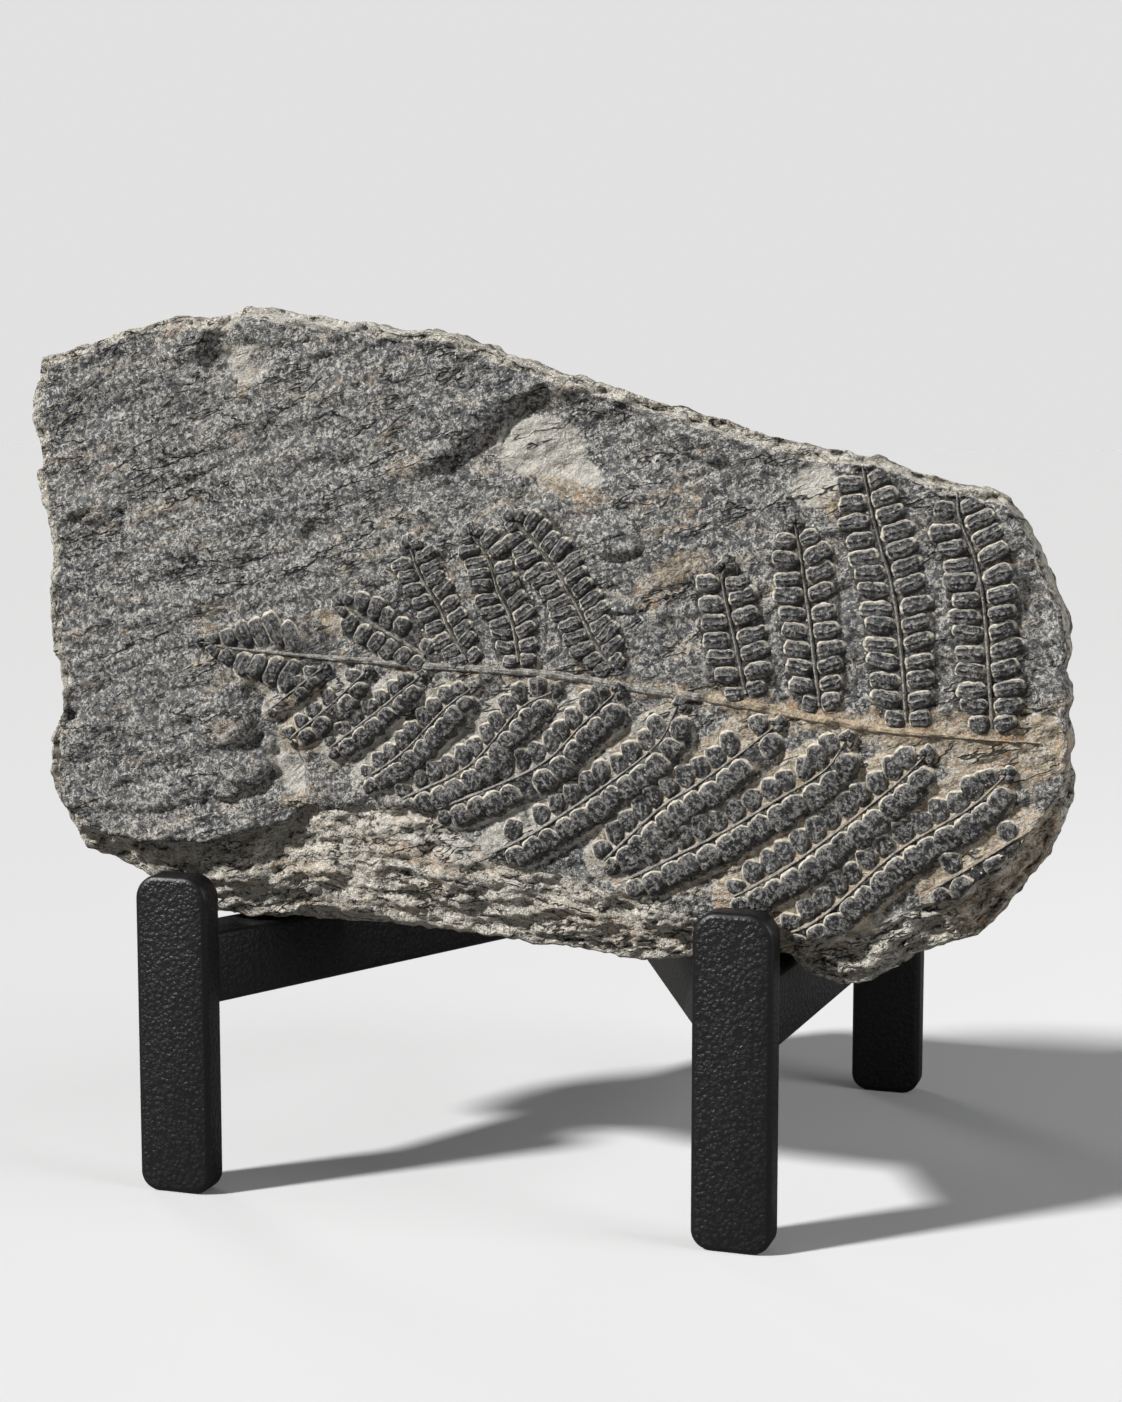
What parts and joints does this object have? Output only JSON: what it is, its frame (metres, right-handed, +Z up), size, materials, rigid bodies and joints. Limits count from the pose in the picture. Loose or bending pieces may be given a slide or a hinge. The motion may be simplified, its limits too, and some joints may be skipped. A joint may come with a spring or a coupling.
{
  "type": "fossil fern plate on a stand",
  "caption": "Upright grey shale slab with a raised dark fern frond on its face, standing on a small black bar stand with front posts and a rear post.",
  "frame": {"origin": "middle of the box's floor, on the surface the stand's three posts rest on", "axes": "+Z up, +X to the right of the slab's face, which looks along -Y"},
  "size_m": [0.2546, 0.1522, 0.2163],
  "materials": {
    "shale": "rough broken shale with a dark pressed frond and tan films",
    "frond": "dark carbon film on raised leaflets, slightly glossy",
    "stand_black": "black powder coat with a fine pebbled grain"
  },
  "bodies": {
    "root": {"fossil_slab": "shale", "left_post": "stand_black", "right_post": "stand_black", "rear_post": "stand_black", "left_rail": "stand_black", "right_rail": "stand_black", "side_rail": "stand_black", "rear_rail": "stand_black"}
  },
  "joints": []
}
